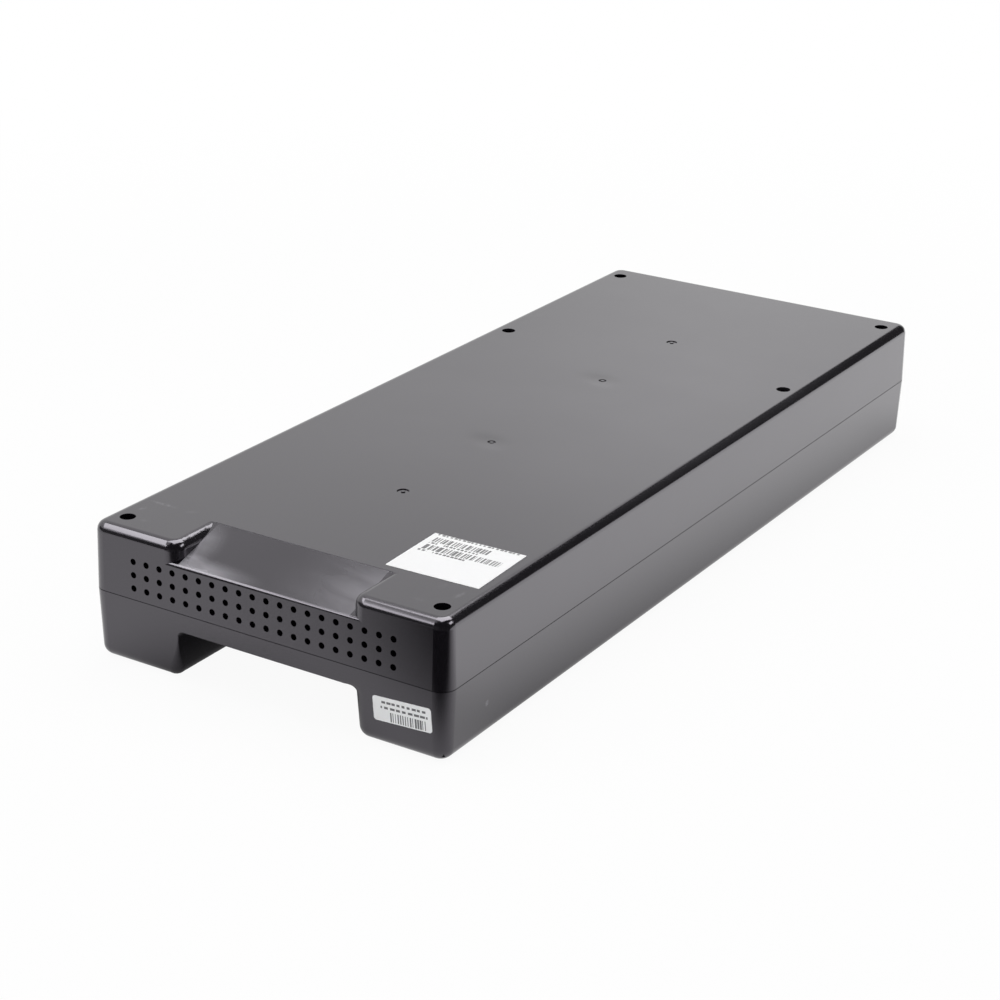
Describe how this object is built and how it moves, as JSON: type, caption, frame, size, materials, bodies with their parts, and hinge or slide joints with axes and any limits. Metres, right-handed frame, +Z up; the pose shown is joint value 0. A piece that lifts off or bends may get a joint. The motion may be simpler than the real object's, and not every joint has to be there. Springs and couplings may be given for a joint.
{
  "type": "ups battery cartridge",
  "caption": "Flat black moulded cartridge of lead-acid batteries for a backup power supply, with a finger pocket, thumb recess, vent grille and rear connector.",
  "frame": {"origin": "middle of the underside, on the plane it rests on", "axes": "+Z up; +Y from the vented front end to the connector end, along the length; +X to the right seen from the front"},
  "size_m": [0.208, 0.522, 0.0722],
  "materials": {
    "case_plastic": "moulded, semi-gloss black, fine scuffs",
    "screw_steel": "zinc plated",
    "block_plastic": "moulded, dark grey",
    "terminal_metal": "tin plated",
    "sleeve_vinyl": "soft vinyl",
    "link_insulation": "smooth insulation",
    "positive_insulation": "smooth insulation",
    "negative_insulation": "smooth insulation",
    "clip_nylon": "natural nylon",
    "holder_plastic": "moulded",
    "fuse_plastic": "tinted",
    "connector_plastic": "moulded, grey",
    "contact_metal": "silver plated",
    "pad_foam": "closed-cell foam",
    "label_film": "satin white film"
  },
  "bodies": {
    "root": {"base_pad_1": "pad_foam", "base_pad_2": "pad_foam", "base_pad_3": "pad_foam", "base_pad_4": "pad_foam", "battery_1": "block_plastic", "battery_1_tabs": "terminal_metal", "battery_2": "block_plastic", "battery_2_tabs": "terminal_metal", "battery_3": "block_plastic", "battery_3_tabs": "terminal_metal", "battery_4": "block_plastic", "battery_4_tabs": "terminal_metal", "blade_fuse": "fuse_plastic", "cable_clips": "clip_nylon", "connector_contacts": "contact_metal", "cover_screws": "screw_steel", "front_label": "label_film", "fuse_holder": "holder_plastic", "fuse_lead": "positive_insulation", "link_cable_1": "link_insulation", "link_cable_2": "link_insulation", "link_cable_3": "link_insulation", "lower_tray": "case_plastic", "negative_lead": "negative_insulation", "output_connector": "connector_plastic", "positive_lead": "positive_insulation", "terminal_sleeves": "sleeve_vinyl", "top_label": "label_film", "top_pad_1": "pad_foam", "top_pad_2": "pad_foam", "top_pad_3": "pad_foam", "top_pad_4": "pad_foam", "upper_cover": "case_plastic"}
  },
  "joints": []
}
